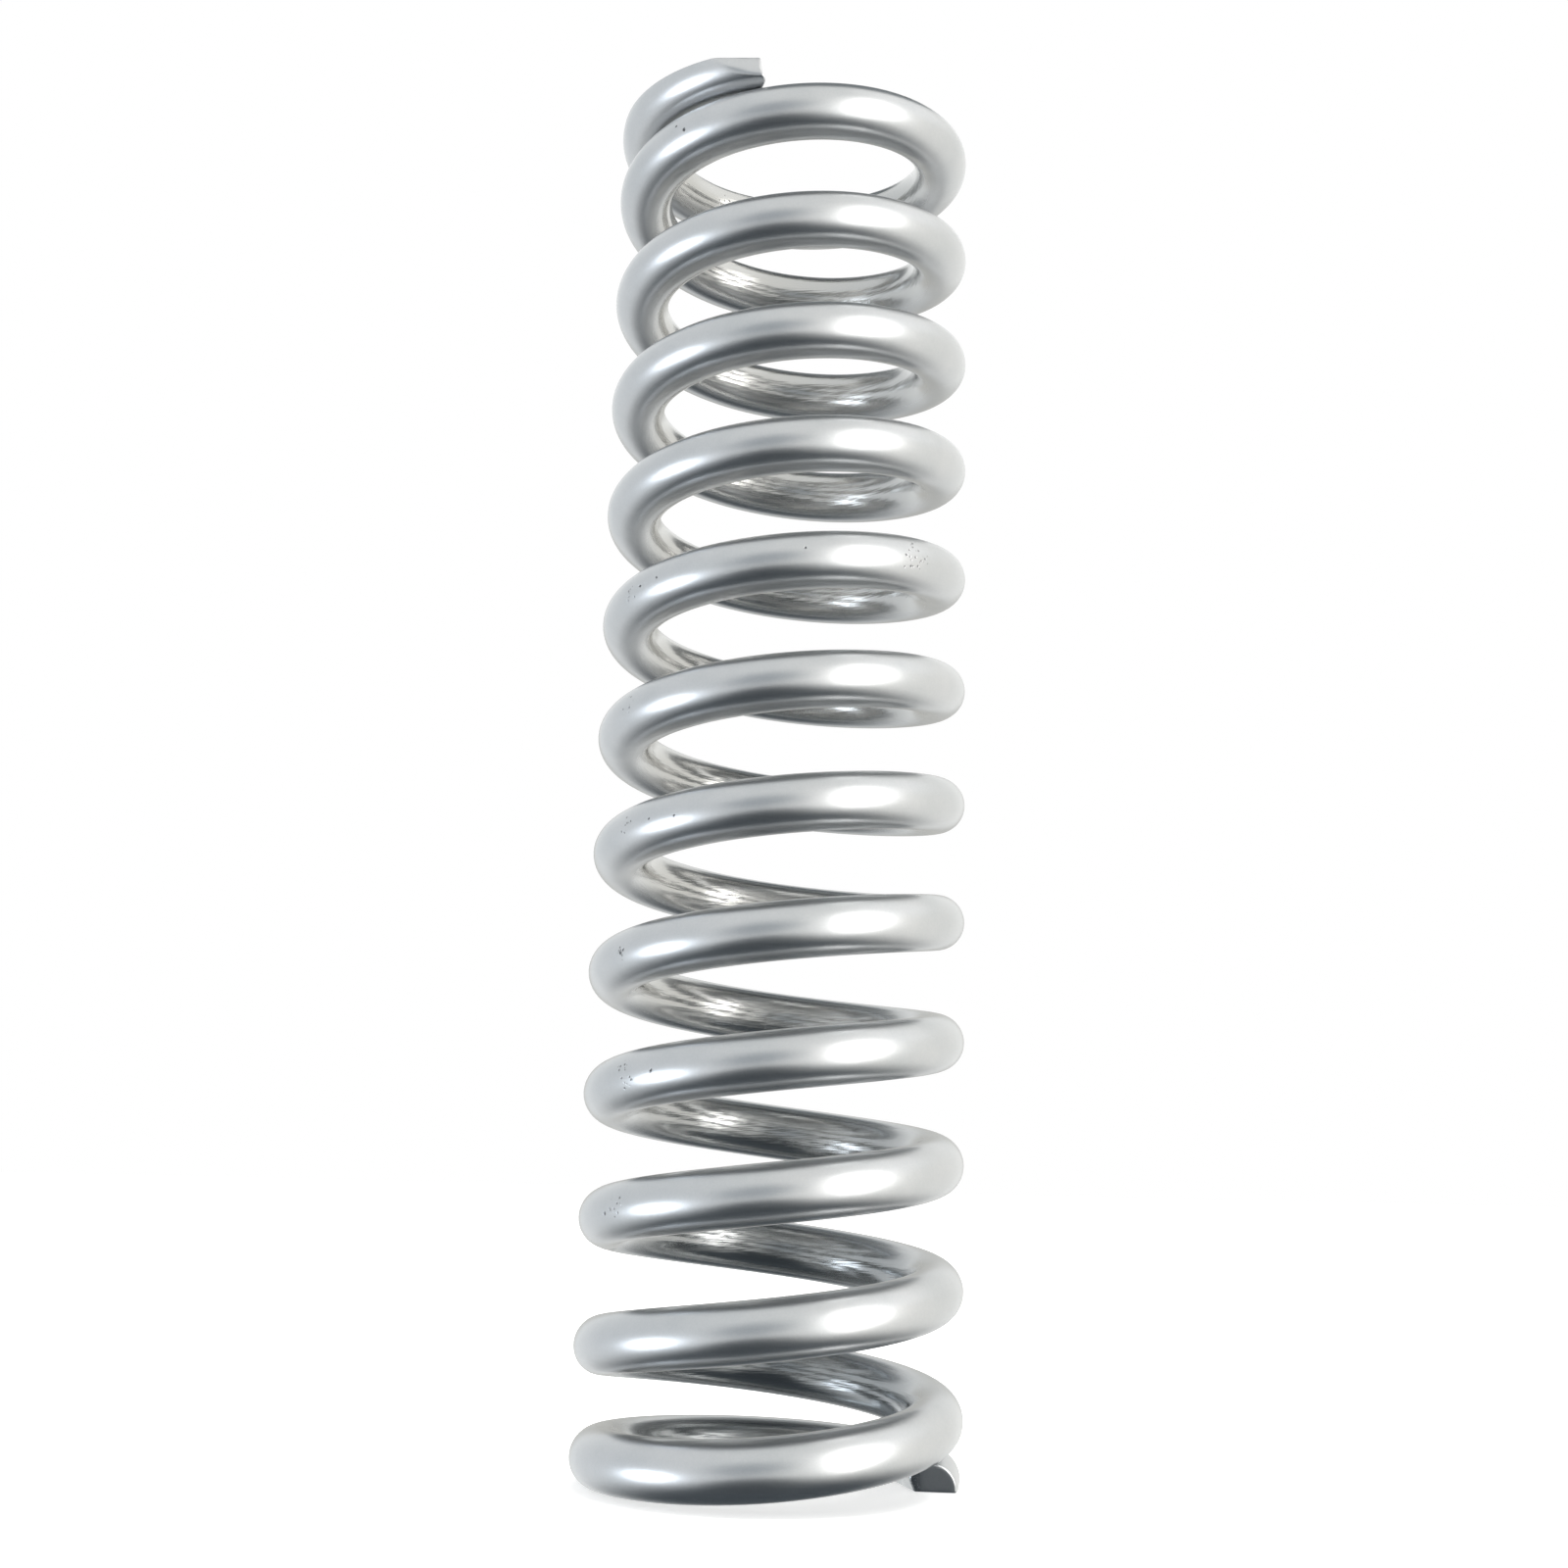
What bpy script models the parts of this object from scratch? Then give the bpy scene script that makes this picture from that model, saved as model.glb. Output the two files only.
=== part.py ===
"""Coilover spring: one length of round spring wire, wound right-handed on a cylinder.

The ends are closed, so that each tip lies on the next coil, and are ground flat and square
to the axis. The spring stands on its lower ground face, with its axis on the Z axis and the
lower tip starting on +X. All sizes are in metres.
"""

import math

import bpy
import bmesh
from mathutils import Matrix, Vector

MM = 0.001

# Driving sizes of the coil
FREE_LENGTH = 254.0 * MM       # between the two ground faces, with no load
BORE = 47.9 * MM               # clear diameter inside the coils
WIRE = 10.1 * MM               # thickness of the round wire, with its coating
TURNS = 12.73                  # from one tip to the other
TIP_GAP = 0.3 * MM             # between each tip and the coil it lies against

# Lower end: the wire is this thick at the tip after grinding, before its taper. It leaves
# the closed winding after so many turns, over an opening stretch of so many turns
LOWER_TIP = 6.4 * MM
LOWER_CLOSED = 0.63
LOWER_OPENING = 0.22

# Upper end
UPPER_TIP = 5.4 * MM
UPPER_CLOSED = 0.57
UPPER_OPENING = 0.42

# The cut faces
TIP_BEVEL = 0.35 * MM          # bevel round each of them
LOWER_CUT_NOD = math.radians(12.0)     # how far the lower one looks down
UPPER_CUT_SKEW = math.radians(9.0)     # how far the upper one is turned from square
UPPER_LIP = 0.9 * MM           # ridge that the cut left standing at its lower outside
LIP_SIDE = math.radians(300.0)         # where the ridge is, round the wire from its outside
LIP_SPREAD = math.radians(30.0)        # from the top of the ridge down to each foot

# The lower tip is thinned by a taper, mostly from above and outside
LOWER_TAPER = 1.6 * MM
LOWER_TAPER_SIDE = math.radians(66.0)  # where it takes the most, up from the outside
LOWER_TAPER_LENGTH = 5.5 * MM

# The corners dressed on the grinder
FACET_TILT = math.radians(25.0)        # of a dressed corner, from upright
UPPER_FACET_DEPTH = 1.6 * MM           # taken off the outside of the upper tip
UPPER_FACET_LEAN = math.radians(10.0)  # between that cut and the wire
UPPER_FACET_EDGE = 1.85 * MM           # from the ground face down to where the cut turns upright
LOWER_FACET_DEPTH = 1.9 * MM           # taken off the inside of the lower tip, at the ground face
LOWER_FACET_LEAN = math.radians(22.0)

# How finely the round forms are drawn
STEPS_PER_TURN = 32
SECTION_SIDES = 12

WIRE_RADIUS = WIRE / 2
COIL_RADIUS = BORE / 2 + WIRE_RADIUS   # from the axis to the centre of the wire
OUTER_RADIUS = BORE / 2 + WIRE
LOWER_TIP_CENTRE = LOWER_TIP - WIRE_RADIUS
UPPER_TIP_CENTRE = FREE_LENGTH - UPPER_TIP + WIRE_RADIUS


def eased(share):
    """Area under a smooth 0 to 1 step, up to the given share of its length."""
    step = min(max(share, 0.0), 1.0)
    return step ** 3 - step ** 4 / 2 + max(share - 1.0, 0.0)


def closed_share(closed, opening, turn):
    """Turns that count as closed winding within the first turns from a tip."""
    return turn - opening * eased((turn - closed) / opening)


def loss_factor(closed, opening):
    """Closed turns of a whole end, for each turn's worth that brings the tip to its coil."""
    return (closed + opening / 2) / closed_share(closed, opening, 1.0)


LOWER_LOSS = loss_factor(LOWER_CLOSED, LOWER_OPENING)
UPPER_LOSS = loss_factor(UPPER_CLOSED, UPPER_OPENING)
CLOSED_RISE = WIRE + TIP_GAP           # of the first turn at each end
PITCH = ((UPPER_TIP_CENTRE - LOWER_TIP_CENTRE - CLOSED_RISE * (LOWER_LOSS + UPPER_LOSS))
         / (TURNS - LOWER_LOSS - UPPER_LOSS))


def lost_height(closed, opening, turn):
    """Height that the closed winding of an end holds back within the given turns."""
    slack = (PITCH - CLOSED_RISE) / closed_share(closed, opening, 1.0)
    return slack * closed_share(closed, opening, turn)


def height(turn):
    """Height of the wire's centre after the given turns from the lower tip."""
    lower = lost_height(LOWER_CLOSED, LOWER_OPENING, turn)
    upper = (lost_height(UPPER_CLOSED, UPPER_OPENING, TURNS)
             - lost_height(UPPER_CLOSED, UPPER_OPENING, TURNS - turn))
    return LOWER_TIP_CENTRE + PITCH * turn - lower - upper


def wire_frame(turn):
    """Centre, outward, along and upward directions of the wire at a turn."""
    angle = math.tau * turn
    nudge = 0.001
    outward = Vector((math.cos(angle), math.sin(angle), 0.0))
    rise = (height(turn + nudge) - height(turn - nudge)) / (2 * nudge)
    sideways = Vector((-math.sin(angle), math.cos(angle), 0.0)) * math.tau * COIL_RADIUS
    along = (sideways + Vector((0.0, 0.0, rise))).normalized()
    centre = outward * COIL_RADIUS + Vector((0.0, 0.0, height(turn)))
    return centre, outward, along, outward.cross(along)


def add_section(bm, turn, inset=0.0, skew=0.0, nod=0.0, lip=0.0):
    """One round section of the wire, made smaller all round by inset.

    skew turns it about its upright direction, and nod leans its top back along the wire.
    lip is the height of a ridge that stands out along the wire.
    """
    centre, outward, along, upward = wire_frame(turn)
    run = turn * math.tau * COIL_RADIUS
    thinning = LOWER_TAPER / 2 * max(1.0 - run / LOWER_TAPER_LENGTH, 0.0)
    centre -= thinning * (outward * math.cos(LOWER_TAPER_SIDE) + upward * math.sin(LOWER_TAPER_SIDE))
    radius = WIRE_RADIUS - thinning - inset
    across = outward + along * math.tan(skew)
    upright = upward - along * math.tan(nod)
    ring = []
    for side in range(SECTION_SIDES):
        angle = math.tau * side / SECTION_SIDES
        ridge = lip * max(1.0 - abs(angle - LIP_SIDE) / LIP_SPREAD, 0.0)
        point = centre + radius * (across * math.cos(angle) + upright * math.sin(angle))
        ring.append(bm.verts.new(point + ridge * along))
    return ring


def add_cut_face(bm, ring):
    """Triangles from the edge of a cut face to its middle."""
    middle = bm.verts.new(sum((vert.co for vert in ring), Vector()) / SECTION_SIDES)
    for side in range(SECTION_SIDES):
        bm.faces.new((ring[side - 1], ring[side], middle))


def wound_wire():
    """The whole wire before grinding, with a bevel round each cut end."""
    bm = bmesh.new()
    bevel_turn = TIP_BEVEL / (math.tau * COIL_RADIUS)
    steps = round(TURNS * STEPS_PER_TURN)
    first, last = bevel_turn, TURNS - bevel_turn
    lower_cut = {"nod": LOWER_CUT_NOD}
    upper_cut = {"skew": UPPER_CUT_SKEW, "lip": UPPER_LIP}
    rings = [add_section(bm, 0.0, TIP_BEVEL, **lower_cut), add_section(bm, first, **lower_cut)]
    for step in range(1, steps):
        rings.append(add_section(bm, first + (last - first) * step / steps))
    rings += [add_section(bm, last, **upper_cut), add_section(bm, TURNS, TIP_BEVEL, **upper_cut)]
    for ring, following in zip(rings, rings[1:]):
        for side in range(SECTION_SIDES):
            after = (side + 1) % SECTION_SIDES
            bm.faces.new((ring[side], ring[after], following[after], following[side]))
    add_cut_face(bm, rings[0])
    add_cut_face(bm, rings[-1])
    bmesh.ops.recalc_face_normals(bm, faces=bm.faces)
    mesh = bpy.data.meshes.new("coil_spring")
    bm.to_mesh(mesh)
    bm.free()
    return mesh


def add_box_cutter(name, low, high, matrix):
    """A cutting block between two corners, given in the block's own directions."""
    bm = bmesh.new()
    size = Vector(high) - Vector(low)
    middle = (Vector(high) + Vector(low)) / 2
    shape = matrix @ Matrix.Translation(middle) @ Matrix.Diagonal(size).to_4x4()
    bmesh.ops.create_cube(bm, size=1.0, matrix=shape)
    bmesh.ops.recalc_face_normals(bm, faces=bm.faces)
    mesh = bpy.data.meshes.new(name)
    bm.to_mesh(mesh)
    bm.free()
    cutter = bpy.data.objects.new(name, mesh)
    cutter.hide_render = True
    cutter.display_type = "WIRE"
    bpy.context.collection.objects.link(cutter)
    return cutter


def add_grinding_cutters():
    """Two blocks that grind the ends flat and square to the axis."""
    reach = OUTER_RADIUS + WIRE
    return [
        add_box_cutter("lower_grind", (-reach, -reach, -WIRE), (reach, reach, 0.0),
                       Matrix.Identity(4)),
        add_box_cutter("upper_grind", (-reach, -reach, 0.0), (reach, reach, WIRE),
                       Matrix.Translation((0.0, 0.0, FREE_LENGTH))),
    ]


def add_facet_cutter(name, point, back, wall, face, lean, tilt, reach):
    """A block that takes a flat facet off one corner of a tip.

    back points along the wire away from the cut end, wall points to the side that is
    dressed, and face points out of the ground face. The facet leans out through the wall
    as it runs back, and faces towards the ground face by tilt.
    """
    run = back * math.cos(lean) + wall * math.sin(lean)
    level = wall * math.cos(lean) - back * math.sin(lean)
    normal = level * math.cos(tilt) + face * math.sin(tilt)
    slope = face * math.cos(tilt) - level * math.sin(tilt)
    matrix = Matrix((run, normal, slope)).transposed().to_4x4()
    matrix.translation = point
    low, high = reach
    return add_box_cutter(name, (-WIRE_RADIUS / 2, 0.0, -low), (WIRE, WIRE_RADIUS, high), matrix)


def add_facet_cutters():
    """The corners of the tips that were dressed by hand after grinding."""
    up = Vector((0.0, 0.0, 1.0))

    centre, outward, along, _ = wire_frame(TURNS)
    back = -Vector((along.x, along.y, 0.0)).normalized()
    edge = outward * (OUTER_RADIUS - UPPER_FACET_DEPTH)
    edge.z = FREE_LENGTH - UPPER_FACET_EDGE
    upright_drop = edge.z - (centre.z - WIRE_RADIUS)
    upper_upright = add_facet_cutter("upper_upright_facet", edge, back, outward, up,
                                     UPPER_FACET_LEAN, 0.0, (upright_drop, WIRE))
    upper_sloped = add_facet_cutter("upper_sloped_facet", edge, back, outward, up,
                                    UPPER_FACET_LEAN, FACET_TILT, (0.0, WIRE))

    _, outward, along, _ = wire_frame(0.0)
    back = Vector((along.x, along.y, 0.0)).normalized()
    corner = outward * (BORE / 2 + LOWER_FACET_DEPTH)
    lower_sloped = add_facet_cutter("lower_sloped_facet", corner, back, -outward, -up,
                                    LOWER_FACET_LEAN, FACET_TILT, (WIRE_RADIUS, WIRE_RADIUS))
    return [upper_upright, upper_sloped, lower_sloped]


def coating():
    """Silver metallic powder coat."""
    material = bpy.data.materials.new("silver_powder_coat")
    material.use_nodes = True
    shader = material.node_tree.nodes["Principled BSDF"]
    shader.inputs["Base Color"].default_value = (0.50, 0.51, 0.52, 1.0)
    shader.inputs["Metallic"].default_value = 0.85
    shader.inputs["Roughness"].default_value = 0.30
    return material


def build():
    """Wind the wire, grind both ends and dress the tips."""
    for old in list(bpy.data.objects):
        bpy.data.objects.remove(old, do_unlink=True)
    mesh = wound_wire()
    mesh.materials.append(coating())
    spring = bpy.data.objects.new("coil_spring", mesh)
    bpy.context.collection.objects.link(spring)
    for cutter in add_grinding_cutters() + add_facet_cutters():
        cut = spring.modifiers.new(cutter.name, "BOOLEAN")
        cut.operation = "DIFFERENCE"
        cut.solver = "EXACT"
        cut.object = cutter
    mesh.shade_smooth()
    mesh.set_sharp_from_angle(angle=math.radians(40.0))


build()
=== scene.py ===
"""Looks of a coilover spring: a fine-meshed wire in silver powder coat, and its photo stage.

The piece is wound from the same sizes as its CAD node and stands in the same frame. All
sizes are in metres and all angles in radians unless a name says otherwise.
"""
import math

import bpy
import numpy as np
from mathutils import Matrix, Vector


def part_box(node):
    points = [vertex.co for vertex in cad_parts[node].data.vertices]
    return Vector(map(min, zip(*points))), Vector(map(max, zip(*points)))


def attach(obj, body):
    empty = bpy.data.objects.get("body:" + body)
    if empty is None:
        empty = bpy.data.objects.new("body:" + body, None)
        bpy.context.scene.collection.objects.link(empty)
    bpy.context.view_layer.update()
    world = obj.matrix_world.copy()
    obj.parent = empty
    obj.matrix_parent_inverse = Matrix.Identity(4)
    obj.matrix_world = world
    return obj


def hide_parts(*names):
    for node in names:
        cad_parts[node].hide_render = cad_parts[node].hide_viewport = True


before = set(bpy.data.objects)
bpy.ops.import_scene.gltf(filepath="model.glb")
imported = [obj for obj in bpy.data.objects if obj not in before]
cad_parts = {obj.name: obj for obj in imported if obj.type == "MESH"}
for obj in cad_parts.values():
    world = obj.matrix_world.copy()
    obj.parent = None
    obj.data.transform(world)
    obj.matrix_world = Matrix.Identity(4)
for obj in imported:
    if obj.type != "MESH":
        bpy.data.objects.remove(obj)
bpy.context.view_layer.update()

bl_info = {
    "name": "Coilover Spring",
    "version": (1, 0, 0),
    "blender": (4, 5, 0),
    "location": "View3D > Sidebar > Coil Spring",
    "description": "Winds, grinds and coats a coilover spring and sets up its photo stage",
    "category": "Object",
}

MM = 0.001
INSIDE_CAD = 0.01 * MM         # the fine mesh keeps this far inside the faceted CAD solid's box
PHOTO_SIDE = 1600              # pixels along each side of the photograph
MIX_A, MIX_B = 6, 7            # colour inputs of a Mix node


def linear(hex_colour):
    """Linear RGBA of an sRGB colour written as #RRGGBB."""
    parts = [int(hex_colour[start:start + 2], 16) / 255 for start in (1, 3, 5)]
    return tuple(part / 12.92 if part <= 0.04045 else ((part + 0.055) / 1.055) ** 2.4
                 for part in parts) + (1.0,)


def add_node(tree, kind, settings=None, inputs=None):
    """Add a node with its settings, and with values or links on its inputs.

    A whole node that is given as an input stands for the first output that it has in use.
    """
    node = tree.nodes.new(kind)
    for name, value in (settings or {}).items():
        setattr(node, name, value)
    for key, value in (inputs or {}).items():
        if isinstance(value, bpy.types.Node):
            value = next(output for output in value.outputs if output.enabled)
        if isinstance(value, bpy.types.NodeSocket):
            tree.links.new(value, node.inputs[key])
        else:
            node.inputs[key].default_value = value
    return node


# Sizes and colours that a user would change

class SpringSizes(bpy.types.PropertyGroup):
    """Sizes of the wound wire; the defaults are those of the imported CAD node."""
    free_length: bpy.props.FloatProperty(
        name="Free Length", description="Between the two ground faces, with no load",
        default=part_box("coil_spring")[1].z, min=0.1, unit="LENGTH")
    bore: bpy.props.FloatProperty(
        name="Bore", description="Clear diameter inside the coils",
        default=47.9 * MM, min=0.02, unit="LENGTH")
    wire: bpy.props.FloatProperty(
        name="Wire", description="Thickness of the round wire with its coating",
        default=10.1 * MM, min=0.002, unit="LENGTH")
    turns: bpy.props.FloatProperty(
        name="Turns", description="Turns of wire from one tip to the other",
        default=12.73, min=4.0)
    tip_gap: bpy.props.FloatProperty(
        name="Tip Gap", description="Between each tip and the coil it lies against",
        default=0.3 * MM, min=0.0, unit="LENGTH")
    lower_tip: bpy.props.FloatProperty(
        name="Lower Tip", description="Thickness that grinding leaves at the lower tip",
        default=6.4 * MM, min=0.001, unit="LENGTH")
    upper_tip: bpy.props.FloatProperty(
        name="Upper Tip", description="Thickness that grinding leaves at the upper tip",
        default=5.4 * MM, min=0.001, unit="LENGTH")
    ground_edge: bpy.props.FloatProperty(
        name="Ground Edge", description="Softness of the ground edges under the coating",
        default=0.45 * MM, min=0.05 * MM, unit="LENGTH")
    steps_per_turn: bpy.props.IntProperty(
        name="Steps per Turn", description="Sections of the mesh in each turn of the wire",
        default=144, min=24)
    sides: bpy.props.IntProperty(
        name="Sides", description="Points round each section of the wire",
        default=48, min=8)


class CoatLooks(bpy.types.PropertyGroup):
    """Colours of the coating."""
    silver: bpy.props.FloatVectorProperty(
        name="Silver", description="Colour of the metal flake in the coat",
        subtype="COLOR", size=4, min=0.0, max=1.0, default=linear("#CDCDCE"))
    shade: bpy.props.FloatVectorProperty(
        name="Shade", description="Colour where the flake lies thinner",
        subtype="COLOR", size=4, min=0.0, max=1.0, default=linear("#B9BCBE"))
    # Inside the coils the colour is darker: partly the thinner coat's own tone, partly painted
    # shade, darker still towards the floor
    inner_low: bpy.props.FloatVectorProperty(
        name="Inner Low", description="Colour inside the lowest coils, where the coat is thinnest",
        subtype="COLOR", size=4, min=0.0, max=1.0, default=linear("#999C9D"))
    inner: bpy.props.FloatVectorProperty(
        name="Inner", description="Colour inside the upper coils, where the coat is thinner",
        subtype="COLOR", size=4, min=0.0, max=1.0, default=linear("#BCBCBA"))
    pit: bpy.props.FloatVectorProperty(
        name="Pit", description="Colour down in the small pits of the coat",
        subtype="COLOR", size=4, min=0.0, max=1.0, default=linear("#4A4B4D"))


class StageLooks(bpy.types.PropertyGroup):
    """Floor, background and studio light."""
    floor_side: bpy.props.FloatProperty(
        name="Floor Side", description="Side of the square floor",
        default=8.0, min=1.0, unit="LENGTH")
    paper: bpy.props.FloatVectorProperty(
        name="Paper", description="Colour of the pale floor",
        subtype="COLOR", size=4, min=0.0, max=1.0, default=linear("#EDEDEB"))
    left_light: bpy.props.FloatVectorProperty(
        name="Left Light", description="Colour of the cool softbox on the left",
        subtype="COLOR", size=4, min=0.0, max=1.0, default=linear("#EEF6FF"))
    right_light: bpy.props.FloatVectorProperty(
        name="Right Light", description="Colour of the warm softbox on the right",
        subtype="COLOR", size=4, min=0.0, max=1.0, default=linear("#FFFDFA"))
    left_wall: bpy.props.FloatVectorProperty(
        name="Left Wall", description="What the coat mirrors from the left of the studio",
        subtype="COLOR", size=4, min=0.0, max=1.0, default=linear("#DFE3E6"))
    right_wall: bpy.props.FloatVectorProperty(
        name="Right Wall", description="What the coat mirrors from the right of the studio",
        subtype="COLOR", size=4, min=0.0, max=1.0, default=linear("#FBFAF5"))
    # The wall behind and dark above are painted shadow: the paper in the spring's own shadow,
    # mirrored from behind and from high up behind
    painted_shadow_behind: bpy.props.FloatVectorProperty(
        name="Wall Behind", description="What the coat mirrors from behind the spring",
        subtype="COLOR", size=4, min=0.0, max=1.0, default=linear("#BABAB6"))
    painted_shadow_above: bpy.props.FloatVectorProperty(
        name="Dark Above", description="What the coat mirrors from high up behind the spring",
        subtype="COLOR", size=4, min=0.0, max=1.0, default=linear("#6E7477"))
    dark_below: bpy.props.FloatVectorProperty(
        name="Dark Below", description="What the coat mirrors from below the table",
        subtype="COLOR", size=4, min=0.0, max=1.0, default=linear("#4E5459"))
    front_card: bpy.props.FloatVectorProperty(
        name="Front Card", description="Colour of the grey card round the camera",
        subtype="COLOR", size=4, min=0.0, max=1.0, default=linear("#A5ABB0"))
    table_card: bpy.props.FloatVectorProperty(
        name="Table Card", description="Colour of the dark card below the camera",
        subtype="COLOR", size=4, min=0.0, max=1.0, default=linear("#4E5459"))
    fill: bpy.props.FloatVectorProperty(
        name="Fill", description="Light that comes from all sides onto matt surfaces",
        subtype="COLOR", size=4, min=0.0, max=1.0, default=linear("#C8C8C8"))
    mirrored_strength: bpy.props.FloatProperty(
        name="Mirrored Strength", description="Brightness of the studio that the coat mirrors",
        default=1.24, min=0.0)
    overhead_power: bpy.props.FloatProperty(
        name="Overhead Power", description="Power of the softbox above the spring",
        default=24.0, min=0.0, unit="POWER")


# The path of the wire, as in the CAD: closed winding at each end, open coils between

LOWER_CLOSED, LOWER_OPENING = 0.63, 0.22       # turns
UPPER_CLOSED, UPPER_OPENING = 0.57, 0.42       # turns
SLOPE_NUDGE = 0.001                            # of a turn, to either side of a measured slope


def smooth(share):
    """Smooth step of a share, or of many, from 0 to 1."""
    return share ** 2 * (3 - 2 * share)


def eased(share):
    """Area under a smooth 0 to 1 step, up to the given share of its length."""
    step = min(max(share, 0.0), 1.0)
    return step ** 3 - step ** 4 / 2 + max(share - 1.0, 0.0)


def closed_share(closed, opening, turn):
    """Turns that count as closed winding within the first turns from a tip."""
    return turn - opening * eased((turn - closed) / opening)


def loss_factor(closed, opening):
    """Closed turns of a whole end, for each turn's worth that brings the tip to its coil."""
    return (closed + opening / 2) / closed_share(closed, opening, 1.0)


class Winding:
    """Where the centre of the wire runs, and the directions round it."""

    def __init__(self, sizes):
        self.turns = sizes.turns
        self.radius = sizes.wire / 2
        self.drawn_radius = self.radius - INSIDE_CAD
        self.bore_radius = sizes.bore / 2
        self.coil_radius = self.bore_radius + self.radius
        self.outer_radius = self.bore_radius + sizes.wire
        self.wire_turn = math.tau * self.coil_radius   # length of one turn of the wire
        self.closed_rise = sizes.wire + sizes.tip_gap
        self.bottom = sizes.lower_tip - self.radius
        top = sizes.free_length - sizes.upper_tip + self.radius
        lost = (loss_factor(LOWER_CLOSED, LOWER_OPENING)
                + loss_factor(UPPER_CLOSED, UPPER_OPENING))
        self.pitch = (top - self.bottom - self.closed_rise * lost) / (self.turns - lost)

    def lost_height(self, closed, opening, turn):
        """Height that the closed winding of an end holds back within the given turns."""
        slack = (self.pitch - self.closed_rise) / closed_share(closed, opening, 1.0)
        return slack * closed_share(closed, opening, turn)

    def height(self, turn):
        """Height of the wire's centre after the given turns from the lower tip."""
        lower = self.lost_height(LOWER_CLOSED, LOWER_OPENING, turn)
        upper = (self.lost_height(UPPER_CLOSED, UPPER_OPENING, self.turns)
                 - self.lost_height(UPPER_CLOSED, UPPER_OPENING, self.turns - turn))
        return self.bottom + self.pitch * turn - lower - upper

    def frame(self, turn):
        """Centre, outward, along and upward directions of the wire at a turn."""
        angle = math.tau * turn
        outward = Vector((math.cos(angle), math.sin(angle), 0.0))
        sideways = Vector((-math.sin(angle), math.cos(angle), 0.0))
        climb = self.height(turn + SLOPE_NUDGE) - self.height(turn - SLOPE_NUDGE)
        rise = climb / (2 * SLOPE_NUDGE)
        along = (sideways * math.tau * self.coil_radius + Vector((0.0, 0.0, rise))).normalized()
        centre = outward * self.coil_radius + Vector((0.0, 0.0, self.height(turn)))
        return centre, outward, along, outward.cross(along)


# Ground faces, cut ends and the corners dressed on the grinder

UP = Vector((0.0, 0.0, 1.0))
TIP_ROUNDING = 0.35 * MM               # of the rim of each cut face
LOWER_CUT_NOD = math.radians(12.0)     # how far the lower cut face looks down
UPPER_CUT_SKEW = math.radians(9.0)     # how far the upper one is turned from square
UPPER_LIP = 0.9 * MM                   # ridge that the cut left standing at its lower outside
LIP_SIDE = math.radians(300.0)         # where the ridge is, round the wire from its outside
LIP_SPREAD = math.radians(30.0)        # from the top of the ridge down to each foot
CUT_FADE = 12.0 * MM                   # of wire over which the sections turn to a cut
LOWER_TAPER = 1.6 * MM                 # thins the lower tip, mostly from above and outside
LOWER_TAPER_SIDE = math.radians(66.0)  # where it takes the most, up from the outside
LOWER_TAPER_LENGTH = 5.5 * MM
FACET_TILT = math.radians(25.0)        # of a dressed corner, from upright
UPPER_FACET_DEPTH = 1.6 * MM           # taken off the outside of the upper tip
UPPER_FACET_LEAN = math.radians(10.0)  # between that cut and the wire
UPPER_FACET_EDGE = 1.85 * MM           # from the ground face down to where the cut turns upright
LOWER_FACET_DEPTH = 1.9 * MM           # taken off the inside of the lower tip
LOWER_FACET_LEAN = math.radians(22.0)
FACET_REACH = 8.4 * MM                 # of wire behind a tip where a facet can still cut
OUTLINE_STEPS = 720                    # of the fine outline that each section is drawn from
CORNER_SHARE = 0.5                     # of a section's points that gather at its corners
LEAST_LEAN = 1e-4                      # of a ray towards a flat, for it to count as meeting it
BEYOND = 1.0                           # metres, farther than any flat that cuts the wire


class Cut:
    """A flat that takes off what lies beyond it, all along the wire or only near a tip."""

    def __init__(self, point, normal, tip_turn=None):
        self.point, self.normal, self.tip_turn = point, normal.normalized(), tip_turn

    def distance(self, origin, rays, wire_from_tip):
        """How far each ray gets from the origin before it meets the flat."""
        relief = 0.0
        if self.tip_turn is not None:
            relief = max(wire_from_tip[self.tip_turn] - FACET_REACH, 0.0)
        room = self.normal.dot(self.point - origin) + relief
        towards = rays @ np.array(self.normal)
        return np.where(towards > LEAST_LEAN, room / np.maximum(towards, LEAST_LEAN), BEYOND)


def facet_normal(back, wall, face, lean, tilt):
    """Direction that a dressed corner faces: out of the wall, turned to the ground face."""
    level = wall * math.cos(lean) - back * math.sin(lean)
    return level * math.cos(tilt) + face * math.sin(tilt)


def tip_cuts(winding, free_length):
    """The two ground faces and the dressed corners of the tips."""
    cuts = [Cut(Vector((0.0, 0.0, 0.0)), -UP), Cut(UP * free_length, UP)]

    _, outward, along, _ = winding.frame(winding.turns)
    back = -Vector((along.x, along.y, 0.0)).normalized()
    edge = outward * (winding.outer_radius - UPPER_FACET_DEPTH)
    edge.z = free_length - UPPER_FACET_EDGE
    for tilt in (0.0, FACET_TILT):
        normal = facet_normal(back, outward, UP, UPPER_FACET_LEAN, tilt)
        cuts.append(Cut(edge, normal, "upper"))

    _, outward, along, _ = winding.frame(0.0)
    back = Vector((along.x, along.y, 0.0)).normalized()
    corner = outward * (winding.coil_radius - winding.radius + LOWER_FACET_DEPTH)
    normal = facet_normal(back, -outward, -UP, LOWER_FACET_LEAN, FACET_TILT)
    cuts.append(Cut(corner, normal, "lower"))
    return cuts


def soft_least(first, second, softness):
    """The smaller of two distances, rounded over where they are nearly the same."""
    overlap = np.maximum(softness - np.abs(first - second), 0.0) / softness
    return np.minimum(first, second) - overlap ** 2 * softness / 4


def tip_share(from_tip):
    """How far the sections have turned to a cut: all the way at the tip, smoothly to none."""
    return smooth(max(1.0 - from_tip / CUT_FADE, 0.0))


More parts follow.
